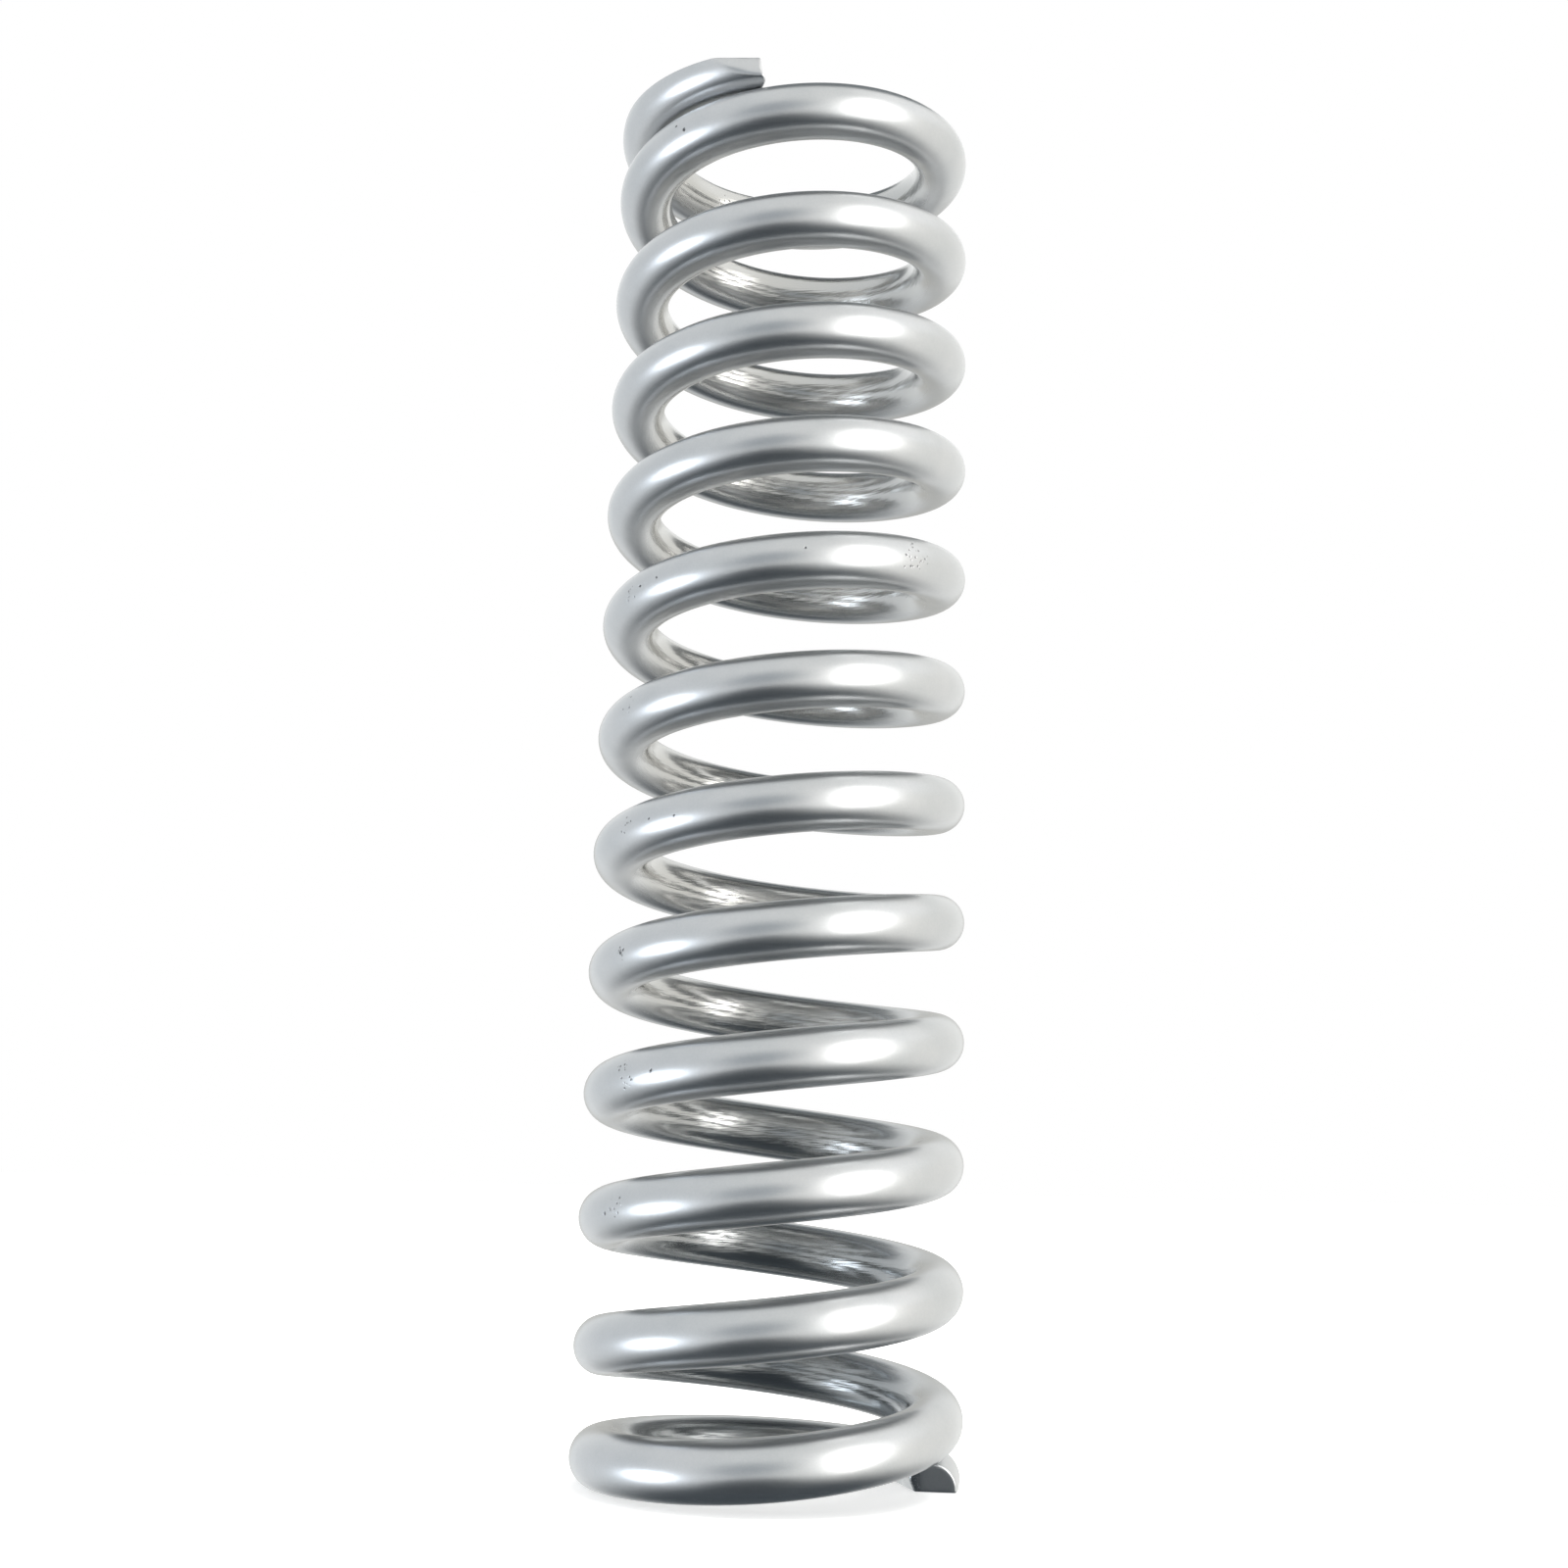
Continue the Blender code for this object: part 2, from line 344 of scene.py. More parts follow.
def section(winding, cuts, turn, sides, softness):
    """Middle of the wire's section at a turn, and its points, gathered at the corners."""
    centre, outward, along, upward = winding.frame(turn)
    from_tip = {"lower": turn * winding.wire_turn,
                "upper": (winding.turns - turn) * winding.wire_turn}
    outward = outward + along * math.tan(UPPER_CUT_SKEW) * tip_share(from_tip["upper"])
    upward = upward - along * math.tan(LOWER_CUT_NOD) * tip_share(from_tip["lower"])

    thinning = LOWER_TAPER / 2 * max(1.0 - from_tip["lower"] / LOWER_TAPER_LENGTH, 0.0)
    radius = winding.drawn_radius - thinning
    round_level = -thinning * math.cos(LOWER_TAPER_SIDE)
    round_height = -thinning * math.sin(LOWER_TAPER_SIDE)
    lowest = max(round_height - radius, (0.0 - centre.z) / upward.z)
    highest = min(round_height + radius, (cuts[1].point.z - centre.z) / upward.z)
    lift = (lowest + highest) / 2
    middle = centre + upward * lift

    angles = np.arange(OUTLINE_STEPS + 1) * math.tau / OUTLINE_STEPS
    across, rise = -np.sin(angles), np.cos(angles)
    rays = np.outer(across, outward) + np.outer(rise, upward)
    round_height -= lift
    inward = round_level * across + round_height * rise
    reach = inward + np.sqrt(radius ** 2 - round_level ** 2 - round_height ** 2 + inward ** 2)
    for cut in cuts:
        reach = soft_least(reach, cut.distance(middle, rays, from_tip), softness)

    level, height = reach * across, reach * rise
    step = np.hypot(np.diff(level), np.diff(height))
    heading = np.unwrap(np.arctan2(np.diff(height), np.diff(level)))
    bend = np.abs(np.diff(heading, append=heading[0] + math.tau))
    share = (1 - CORNER_SHARE) * step / step.sum() + CORNER_SHARE * bend / bend.sum()
    so_far = np.concatenate(([0.0], np.cumsum(share)))
    wanted = np.arange(sides) / sides
    level, height = np.interp(wanted, so_far, level), np.interp(wanted, so_far, height)

    round_wire = np.arctan2(height + lift, level) % math.tau
    ridge = np.maximum(1.0 - np.abs(round_wire - LIP_SIDE) / LIP_SPREAD, 0.0)
    ridge = smooth(ridge) * UPPER_LIP * tip_share(from_tip["upper"])
    points = np.outer(level, outward) + np.outer(height, upward) + np.outer(ridge, along)
    return np.array(middle), points


# The wire as one mesh

FINE_ZONE = 0.06               # turns behind each tip where the sections stand twice as close
RIM_STEPS = 5                  # over the rounding of a cut face's rim
CAP_SHARES = (0.8, 0.6, 0.4, 0.2)      # of a cut face's size: the rings across it
FLAT_WEIGHT = 60               # of large faces in the normals, which keeps the ground faces flat


def section_turns(winding, sizes):
    """Turns at which the wire is drawn, closer together near the tips."""
    rounding = TIP_ROUNDING / winding.wire_turn
    fine_steps = round(FINE_ZONE * sizes.steps_per_turn * 2)
    open_steps = round((winding.turns - 2 * FINE_ZONE) * sizes.steps_per_turn)
    lower = np.linspace(rounding, FINE_ZONE, fine_steps, endpoint=False)
    open_part = np.linspace(FINE_ZONE, winding.turns - FINE_ZONE, open_steps, endpoint=False)
    upper = np.linspace(winding.turns - FINE_ZONE, winding.turns - rounding, fine_steps)
    return np.concatenate((lower, open_part, upper))


def tip_rim():
    """Inset and distance behind the cut face of each ring round its rounded rim."""
    rim = []
    for step in range(1, RIM_STEPS):
        angle = math.pi / 2 * step / RIM_STEPS
        rim.append((TIP_ROUNDING * (1 - math.cos(angle)), TIP_ROUNDING * (1 - math.sin(angle))))
    rim.append((TIP_ROUNDING, 0.0))
    return rim


def wire_rings(winding, sizes):
    """Rings of points from the middle of the lower cut face to the middle of the upper one."""
    cuts = tip_cuts(winding, sizes.free_length)

    def ring(turn, inset=0.0, shrink=1.0):
        middle, points = section(winding, cuts, turn, sizes.sides, sizes.ground_edge)
        lengths = np.linalg.norm(points, axis=1, keepdims=True)
        return middle + points * (shrink * (lengths - inset) / lengths)

    rings = [ring(0.0, TIP_ROUNDING, share) for share in reversed(CAP_SHARES)]
    rings += [ring(back / winding.wire_turn, inset) for inset, back in reversed(tip_rim())]
    rings += [ring(turn) for turn in section_turns(winding, sizes)]
    rings += [ring(winding.turns - back / winding.wire_turn, inset) for inset, back in tip_rim()]
    rings += [ring(winding.turns, TIP_ROUNDING, share) for share in CAP_SHARES]
    return rings


def wire_mesh(winding, sizes):
    """The whole wire as one closed mesh, swept along the winding."""
    rings = wire_rings(winding, sizes)
    sides = sizes.sides
    points = np.concatenate(rings + [[rings[0].mean(axis=0), rings[-1].mean(axis=0)]])
    first = np.arange(sides)
    after = (first + 1) % sides
    faces = []
    for index in range(len(rings) - 1):
        base, above = index * sides, (index + 1) * sides
        faces.extend(np.stack((base + first, above + first, above + after, base + after),
                              axis=1).tolist())
    last = (len(rings) - 1) * sides
    low_end, high_end = len(points) - 2, len(points) - 1
    sides_of_rim = list(zip(first.tolist(), after.tolist()))
    faces.extend([low_end, a, b] for a, b in sides_of_rim)
    faces.extend([high_end, last + b, last + a] for a, b in sides_of_rim)

    mesh = bpy.data.meshes.new("wound_spring")
    mesh.from_pydata(points.tolist(), [], faces)
    mesh.validate()
    mesh.shade_smooth()
    return mesh


# Coating

# Single pits that show in the photograph, each by the pixel where it lies and its width in mm
PITS = {
    "top_coil_left": (698, 132, 0.6),
    "top_coil_left_small": (690, 129, 0.4),
    "top_coil_right": (924, 99, 0.8),
    "fifth_coil_left": (653, 598, 0.5),
    "fifth_coil_upper": (670, 589, 0.4),
    "fifth_coil_middle": (822, 559, 0.4),
    "fifth_coil_right": (925, 566, 0.5),
    "seventh_coil_left": (662, 835, 0.35),
    "seventh_coil_middle": (688, 832, 0.35),
    "eighth_coil_left": (633, 972, 0.7),
    "eighth_coil_small": (636, 969, 0.5),
    "ninth_coil_tick": (664, 1092, 0.5),
    "tenth_coil_left": (617, 1238, 0.6),
    "tenth_coil_chip": (625, 1275, 1.1),
}

# Patches of fine pits and scuffs, each by the pixel of its middle and its radius in mm
SCUFFS = {
    "third_coil_inside": (738, 206, 2.6),
    "fifth_coil_end": (935, 569, 4.6),
    "fifth_coil_left": (643, 606, 2.4),
    "sixth_coil_left": (639, 719, 2.8),
    "seventh_coil_left": (640, 843, 2.4),
    "eighth_coil_left": (634, 974, 2.2),
    "ninth_coil_left": (637, 1097, 3.6),
    "tenth_coil_left": (628, 1230, 2.8),
}

# Sizes of what shows in the coat
FLAKE_CLOUD = 9.0 * MM         # patches where the flake lies thicker or thinner
FLAKE_DRAWN = 0.28 * MM        # flake of 0.05 mm is too fine to show, so it is drawn this wide
FLAKE_CONTRAST = 0.25          # of its greys
PIT_RIM_BITE = 0.35 * MM       # between the bites along a pit's ragged rim
PIT_RIM_SHAKE = 0.3 * MM       # how far they take the rim in or out
PIT_FULL, PIT_ENDS = 0.3, 0.75         # of a pit's width, out from its middle
PIT_DEPTH = 0.15 * MM
SCUFF_SPACING = 0.8 * MM       # between the fine pits of a scuffed patch
SCUFF_FULL, SCUFF_ENDS = 0.16, 0.38    # of that spacing, out from the middle of a fine pit
SCUFF_CHANCE = 0.85            # that a fine pit shows in the core of its patch
SCUFF_CORE = 0.2               # of the patch's radius
SCUFF_SHADE = 0.8              # of a fine pit, where a single pit has 1
PEEL_WAVE, PEEL_HEIGHT = 1.6 * MM, 0.1 * MM
STREAK_WIDTH, STREAK_HEIGHT = 0.4 * MM, 0.06 * MM
STREAK_STRETCH = 18            # times as long as wide
GRAIN_SIZE, GRAIN_HEIGHT = 0.3 * MM, 0.05 * MM     # relief of the flake, drawn coarser as well

# Roughness: outside the coils it stays near 0.3, below which the noise filter leaves rings
COAT_ROUGHNESS = 0.275
CLOUD_ROUGHNESS = 0.06         # more where the clouds of flake are full
INSIDE_ROUGHNESS = -0.11       # less inside the coils

# Where powder hardly reaches and the colour holds painted shade: out from the bore, and up inside
# the coils
THINNEST_COAT_DEEPEST_SHADE = 0.55 * MM      # out from the bore, to where the coat is still at its thinnest and the painted shade deepest
FULL_COAT_NO_SHADE = 4.05 * MM          # and to where the coat has become full and the painted shade is gone
DARKEST_INSIDE_HEIGHT = 15 * MM       # up from the floor, to where the inside of the coils is darkest
UPPER_COILS = 110 * MM         # and to where it is as inside the upper ones


def flaked_metal(tree, place, looks):
    """The cloudy spread of the flake, and the metal's colour with flake and clouds."""
    cloud = add_node(tree, "ShaderNodeTexNoise", None,
                     {"Vector": place, "Scale": 1 / FLAKE_CLOUD, "Detail": 3.0})
    flake = add_node(tree, "ShaderNodeTexVoronoi", None,
                     {"Vector": place, "Scale": 1 / FLAKE_DRAWN})
    flake_grey = add_node(tree, "ShaderNodeRGBToBW", None, {"Color": flake.outputs["Color"]})
    flaked = add_node(tree, "ShaderNodeMath", {"operation": "MULTIPLY_ADD"},
                      {0: flake_grey, 1: FLAKE_CONTRAST, 2: cloud})
    metal = add_node(tree, "ShaderNodeMix", {"data_type": "RGBA"},
                     {"Factor": flaked, MIX_A: tuple(looks.silver), MIX_B: tuple(looks.shade)})
    return cloud, metal


def coat_pits(tree, place, pits, scuffs):
    """How deep in a pit each point lies, from 0 to 1: single pits, then scuffed patches."""
    ragged = add_node(tree, "ShaderNodeTexNoise", None,
                      {"Vector": place, "Scale": 1 / PIT_RIM_BITE, "Detail": 2.0})
    shake = add_node(tree, "ShaderNodeMath", {"operation": "MULTIPLY_ADD"},
                     {0: ragged, 1: 2 * PIT_RIM_SHAKE, 2: -PIT_RIM_SHAKE})
    pitted = 0.0
    for spot, width in pits:
        away = add_node(tree, "ShaderNodeVectorMath", {"operation": "DISTANCE"},
                        {0: place, 1: spot})
        rim = add_node(tree, "ShaderNodeMath", {"operation": "ADD"}, {0: away, 1: shake})
        pit = add_node(tree, "ShaderNodeMapRange", {"interpolation_type": "SMOOTHSTEP"},
                       {"Value": rim, "From Min": width * PIT_FULL,
                        "From Max": width * PIT_ENDS, "To Min": 1.0, "To Max": 0.0})
        pitted = add_node(tree, "ShaderNodeMath", {"operation": "MAXIMUM"},
                          {0: pitted, 1: pit})

    dots = add_node(tree, "ShaderNodeTexVoronoi", None,
                    {"Vector": place, "Scale": 1 / SCUFF_SPACING})
    luck = add_node(tree, "ShaderNodeRGBToBW", None, {"Color": dots.outputs["Color"]})
    dotted = add_node(tree, "ShaderNodeMapRange", {"interpolation_type": "SMOOTHSTEP"},
                      {"Value": dots.outputs["Distance"], "From Min": SCUFF_FULL,
                       "From Max": SCUFF_ENDS, "To Min": 1.0, "To Max": 0.0})
    for spot, radius in scuffs:
        away = add_node(tree, "ShaderNodeVectorMath", {"operation": "DISTANCE"},
                        {0: place, 1: spot})
        chance = add_node(tree, "ShaderNodeMapRange", {"interpolation_type": "SMOOTHSTEP"},
                          {"Value": away, "From Min": radius * SCUFF_CORE, "From Max": radius,
                           "To Min": SCUFF_CHANCE, "To Max": 0.0})
        shows = add_node(tree, "ShaderNodeMath", {"operation": "LESS_THAN"},
                         {0: luck, 1: chance})
        here = add_node(tree, "ShaderNodeMath", {"operation": "MULTIPLY"},
                        {0: dotted, 1: shows})
        faint = add_node(tree, "ShaderNodeMath", {"operation": "MULTIPLY"},
                         {0: here, 1: SCUFF_SHADE})
        pitted = add_node(tree, "ShaderNodeMath", {"operation": "MAXIMUM"},
                          {0: pitted, 1: faint})
    return pitted


def drawn_streaks(tree, axes, out, inside, winding):
    """Streaks inside the coils, drawn out along the wire."""
    east, north, high = (axes.outputs[axis] for axis in "XYZ")
    turned = add_node(tree, "ShaderNodeMath", {"operation": "ARCTAN2"}, {0: east, 1: north})
    round_coil = add_node(tree, "ShaderNodeMath", {"operation": "MULTIPLY"},
                          {0: turned, 1: winding.coil_radius / STREAK_STRETCH})
    drawn = add_node(tree, "ShaderNodeCombineXYZ", None, {0: round_coil, 1: high, 2: out})
    streak = add_node(tree, "ShaderNodeTexNoise", None,
                      {"Vector": drawn, "Scale": 1 / STREAK_WIDTH, "Detail": 1.0})
    centred = add_node(tree, "ShaderNodeMath", {"operation": "SUBTRACT"}, {0: streak, 1: 0.5})
    return add_node(tree, "ShaderNodeMath", {"operation": "MULTIPLY"}, {0: centred, 1: inside})


def powder_coat(looks, winding, pits, scuffs):
    """Silver powder coat: aluminium flake in clear polyester, sprayed dry and baked.

    To the eye it is a soft metal sheen from the flake, with a sharper clear skin over it
    that shows at grazing angles. It has a faint orange peel, a few small pits and scuffs,
    and inside the coils, where less powder reaches, thin streaks along the wire. Inside the
    coils its colour is darker: partly the thin coat's own tone, partly painted shade.
    """
    material = bpy.data.materials.new("silver_powder_coat")
    material.use_nodes = True
    tree = material.node_tree
    tree.nodes.clear()
    place = add_node(tree, "ShaderNodeTexCoord").outputs["Object"]
    cloud, metal = flaked_metal(tree, place, looks)
    pitted = coat_pits(tree, place, pits, scuffs)

    # Distance from the coil's axis, and from it the share of the inside
    axes = add_node(tree, "ShaderNodeSeparateXYZ", None, {"Vector": place})
    east, north, high = (axes.outputs[axis] for axis in "XYZ")
    north_squared = add_node(tree, "ShaderNodeMath", {"operation": "MULTIPLY"},
                             {0: north, 1: north})
    squared = add_node(tree, "ShaderNodeMath", {"operation": "MULTIPLY_ADD"},
                       {0: east, 1: east, 2: north_squared})
    out = add_node(tree, "ShaderNodeMath", {"operation": "SQRT"}, {0: squared})
    inside = add_node(tree, "ShaderNodeMapRange", {"interpolation_type": "SMOOTHSTEP"},
                      {"Value": out, "From Min": winding.bore_radius + THINNEST_COAT_DEEPEST_SHADE,
                       "From Max": winding.bore_radius + FULL_COAT_NO_SHADE,
                       "To Min": 1.0, "To Max": 0.0})

    # Colours: flaked metal outside; inside the coils darker, partly the thin coat's tone and
    # partly painted shade, more so towards the floor; darkest in the pits
    upper = add_node(tree, "ShaderNodeMapRange", {"interpolation_type": "SMOOTHSTEP"},
                     {"Value": high, "From Min": DARKEST_INSIDE_HEIGHT, "From Max": UPPER_COILS})
    thin = add_node(tree, "ShaderNodeMix", {"data_type": "RGBA"},
                    {"Factor": upper, MIX_A: tuple(looks.inner_low), MIX_B: tuple(looks.inner)})
    coat = add_node(tree, "ShaderNodeMix", {"data_type": "RGBA"},
                    {"Factor": inside, MIX_A: metal, MIX_B: thin})
    colour = add_node(tree, "ShaderNodeMix", {"data_type": "RGBA"},
                      {"Factor": pitted, MIX_A: coat, MIX_B: tuple(looks.pit)})

    # Relief: orange peel, then the pits, the streaks and the grain of the flake
    peel = add_node(tree, "ShaderNodeTexNoise", None,
                    {"Vector": place, "Scale": 1 / PEEL_WAVE, "Detail": 1.5})
    peel_bump = add_node(tree, "ShaderNodeBump", None,
                         {"Strength": 0.10, "Distance": PEEL_HEIGHT, "Height": peel})
    pit_bump = add_node(tree, "ShaderNodeBump", {"invert": True},
                        {"Strength": 0.5, "Distance": PIT_DEPTH, "Height": pitted,
                         "Normal": peel_bump})
    streaks = drawn_streaks(tree, axes, out, inside, winding)
    streak_bump = add_node(tree, "ShaderNodeBump", None,
                           {"Strength": 0.8, "Distance": STREAK_HEIGHT, "Height": streaks,
                            "Normal": pit_bump})
    grain = add_node(tree, "ShaderNodeTexNoise", None,
                     {"Vector": place, "Scale": 1 / GRAIN_SIZE, "Detail": 0.0})
    grain_bump = add_node(tree, "ShaderNodeBump", None,
                          {"Strength": 0.10, "Distance": GRAIN_HEIGHT, "Height": grain,
                           "Normal": streak_bump})

    cloudy = add_node(tree, "ShaderNodeMath", {"operation": "MULTIPLY_ADD"},
                      {0: cloud, 1: CLOUD_ROUGHNESS, 2: COAT_ROUGHNESS})
    rough = add_node(tree, "ShaderNodeMath", {"operation": "MULTIPLY_ADD"},
                     {0: inside, 1: INSIDE_ROUGHNESS, 2: cloudy})
    shader = add_node(tree, "ShaderNodeBsdfPrincipled", None,
                      {"Base Color": colour, "Metallic": 1.0, "Roughness": rough,
                       "Normal": grain_bump, "Coat Weight": 0.6, "Coat Roughness": 0.08,
                       "Coat Normal": pit_bump})
    add_node(tree, "ShaderNodeOutputMaterial", None, {"Surface": shader})
    return material


# Camera, fitted to the photograph

CAMERA_PLACE = Vector((36.02, -364.67, 54.54)) * MM
CAMERA_YAW = math.radians(5.575)
CAMERA_PITCH = math.radians(12.12)
CAMERA_ROLL = math.radians(1.24)
CAMERA_FOCAL = 2047.8                  # in pixels of the photograph
CAMERA_SENSOR_MM = 36.0
CAMERA_SHIFT = -51.8                   # of the optical axis, in pixels above the middle


def camera_matrix():
    """Where the camera stands and how it is turned."""
    turn = (Matrix.Rotation(CAMERA_YAW, 4, "Z")
            @ Matrix.Rotation(math.pi / 2 + CAMERA_PITCH, 4, "X")
            @ Matrix.Rotation(CAMERA_ROLL, 4, "Z"))
    return Matrix.Translation(CAMERA_PLACE) @ turn


def under_pixel(piece, x, y):
    """Point of the piece that the photograph shows at a pixel."""
    matrix = camera_matrix()
    middle = PHOTO_SIDE / 2
    ray = Vector((x - middle, middle + CAMERA_SHIFT - y, -CAMERA_FOCAL))
    towards = (matrix.to_3x3() @ ray).normalized()
    hit, place, _, _ = piece.ray_cast(matrix.translation, towards)
    if not hit:
        raise RuntimeError(f"nothing of {piece.name} lies under the pixel {x}, {y}")
    return place


class OBJECT_OT_wind_spring(bpy.types.Operator):
    """Wind the wire, grind its ends and coat it"""
    bl_idname = "object.wind_spring"
    bl_label = "Wind Spring"
    bl_options = {"REGISTER", "UNDO"}

    def execute(self, context):
        scene = context.scene
        winding = Winding(scene.spring_sizes)
        mesh = wire_mesh(winding, scene.spring_sizes)
        spring = bpy.data.objects.new("wound_spring", mesh)
        context.collection.objects.link(spring)
        context.view_layer.update()    # so that rays can meet the new mesh
        pits, scuffs = ([(under_pixel(spring, x, y), size * MM) for x, y, size in marks.values()]
                        for marks in (PITS, SCUFFS))
        mesh.materials.append(powder_coat(scene.coat_looks, winding, pits, scuffs))
        flats = spring.modifiers.new("flat_faces", "WEIGHTED_NORMAL")
        flats.weight = FLAT_WEIGHT
        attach(spring, "root")
        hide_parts("coil_spring")
        return {"FINISHED"}


# Stage

SPRING_MIDDLE = Vector((0.0, 0.0, 127.0)) * MM
WHITE = (1.0, 1.0, 1.0, 1.0)

# Faces that only the coat mirrors: where each stands round the spring, in degrees from +X, how
# far away and how high its middle is, its size, and from which share of it the light thins out
CARDS = {
    "left_softbox_face": dict(azimuth=-155.0, away=1.75, middle=-0.42, width=1.5, height=1.32,
                              strength=5.2, soft_from=0.35),
    "right_softbox_face": dict(azimuth=-33.0, away=0.87, middle=0.21, width=0.78, height=1.70,
                               strength=5.0, soft_from=0.25),
    "front_flag": dict(azimuth=-95.0, away=1.1738, middle=0.2495, width=1.5, height=1.5,
                       strength=1.33, soft_from=0.2),
    "table_front": dict(azimuth=-92.0, away=0.55, middle=-0.50, width=0.95, height=0.95,
                        strength=1.0, soft_from=0.5),
}

# Zones of the mirrored studio: azimuth and elevation of the middle in degrees, and the cosines
# of the angles from there at which the zone starts and is full
BRIGHT_CEILING = (2.0, 46.0, 0.84, 0.98)
# The zones behind and high up behind are painted shadow: the paper in the spring's own shadow
PAINTED_SHADOW_BEHIND = (97.0, 4.0, 0.90, 0.99)
PAINTED_SHADOW_ABOVE = (96.0, 64.0, 0.885, 0.93)
CEILING_LIGHT = (1.1, 1.1, 1.08, 1.0)  # a little brighter than a white wall
DARK_STARTS, DARK_FULL = -0.15, -0.70  # upward part of a direction where the dark starts below
DARK_LOWER_ASIDE = 0.35        # how much farther down it starts to the sides

OVERHEAD_PLACE = Vector((0.35, 0.1, 1.5))
OVERHEAD_SIDE = 1.2
FLOOR_DROP = 0.05 * MM         # below the ground face, so that the two aren't in one plane
PAPER_LIFT = 0.6               # light added to the paper for the eye, which makes it white


def direction(azimuth, elevation):
    """Unit vector of an azimuth from +X and an elevation, in degrees."""
    a, e = math.radians(azimuth), math.radians(elevation)
    return Vector((math.cos(a) * math.cos(e), math.sin(a) * math.cos(e), math.sin(e)))


def flat_sheet(name, width, height):
    """A level rectangle round the origin, as an object in the scene."""
    across, along = width / 2, height / 2
    mesh = bpy.data.meshes.new(name)
    mesh.from_pydata([(-across, -along, 0), (across, -along, 0), (across, along, 0),
                      (-across, along, 0)], [], [(0, 1, 2, 3)])
    sheet = bpy.data.objects.new(name, mesh)
    bpy.context.collection.objects.link(sheet)
    return sheet


def lit_cloth(name, width, height, colour, strength, soft_from):
    """Lit cloth or card: plain light that thins out towards its rim from a share of it."""
    material = bpy.data.materials.new(name)
    material.use_nodes = True
    tree = material.node_tree
    tree.nodes.clear()
    place = add_node(tree, "ShaderNodeTexCoord").outputs["Object"]
    share = add_node(tree, "ShaderNodeVectorMath", {"operation": "DIVIDE"},
                     {0: place, 1: (width, height, 1.0)})
    from_middle = add_node(tree, "ShaderNodeVectorMath", {"operation": "LENGTH"}, {0: share})
    thin = add_node(tree, "ShaderNodeMapRange", {"interpolation_type": "SMOOTHSTEP"},
                    {"Value": from_middle, "From Min": soft_from / 2, "From Max": 0.5})
    light = add_node(tree, "ShaderNodeEmission", None,
                     {"Color": tuple(colour), "Strength": strength})
    clear = add_node(tree, "ShaderNodeBsdfTransparent")
    both = add_node(tree, "ShaderNodeMixShader", None, {0: thin, 1: light, 2: clear})
    add_node(tree, "ShaderNodeOutputMaterial", None, {"Surface": both})
    material.cycles.emission_sampling = "NONE"     # it is met by reflections, and is no lamp
    return material


def reflected_card(name, colour, azimuth, away, middle, width, height, strength, soft_from):
    """A card that stands off the picture and only shows in the coat's reflections."""
    card = flat_sheet(name, width, height)
    card.data.materials.append(lit_cloth(name, width, height, colour, strength, soft_from))
    centre = direction(azimuth, 0.0) * away
    centre.z = middle
    facing = (SPRING_MIDDLE - centre).to_track_quat("Z", "Y")
    card.matrix_world = Matrix.Translation(centre) @ facing.to_matrix().to_4x4()
    card.visible_camera = False
    card.visible_diffuse = False
    card.visible_shadow = False


def mirrored_ray(tree, path):
    """1 for a ray that metal or glass sends on, and 0 for any other."""
    return add_node(tree, "ShaderNodeMath", {"operation": "MAXIMUM"},
                    {0: path.outputs["Is Glossy Ray"], 1: path.outputs["Is Transmission Ray"]})


def mirrored_studio(tree, looks):
    """Colour of the studio in each direction: pale walls and ceiling, painted shadow behind and
    high up behind, dark below.
    """
    heading = add_node(tree, "ShaderNodeTexCoord").outputs["Generated"]
    parts = add_node(tree, "ShaderNodeSeparateXYZ", None, {"Vector": heading})
    to_right = add_node(tree, "ShaderNodeMapRange", None,
                        {"Value": parts.outputs["X"], "From Min": -1.0, "From Max": 1.0})
    around = add_node(tree, "ShaderNodeMix", {"data_type": "RGBA"},
                      {"Factor": to_right, MIX_A: tuple(looks.left_wall),
                       MIX_B: tuple(looks.right_wall)})

    # A bright ceiling, then painted shadow behind and high up behind the spring
    for zone, colour in ((BRIGHT_CEILING, CEILING_LIGHT),
                         (PAINTED_SHADOW_BEHIND, tuple(looks.painted_shadow_behind)),
                         (PAINTED_SHADOW_ABOVE, tuple(looks.painted_shadow_above))):
        azimuth, elevation, starts, full = zone
        nearness = add_node(tree, "ShaderNodeVectorMath", {"operation": "DOT_PRODUCT"},
                            {0: heading, 1: direction(azimuth, elevation)})
        share = add_node(tree, "ShaderNodeMapRange", {"interpolation_type": "SMOOTHSTEP"},
                         {"Value": nearness, "From Min": starts, "From Max": full})
        around = add_node(tree, "ShaderNodeMix", {"data_type": "RGBA"},
                          {"Factor": share, MIX_A: around, MIX_B: colour})

    aside = add_node(tree, "ShaderNodeMath", {"operation": "ABSOLUTE"}, {0: parts.outputs["X"]})
    upward = add_node(tree, "ShaderNodeMath", {"operation": "MULTIPLY_ADD"},
                      {0: aside, 1: DARK_LOWER_ASIDE, 2: parts.outputs["Z"]})
    below = add_node(tree, "ShaderNodeMapRange", {"interpolation_type": "SMOOTHSTEP"},
                     {"Value": upward, "From Min": DARK_STARTS, "From Max": DARK_FULL})
    return add_node(tree, "ShaderNodeMix", {"data_type": "RGBA"},
                    {"Factor": below, MIX_A: around, MIX_B: tuple(looks.dark_below)})


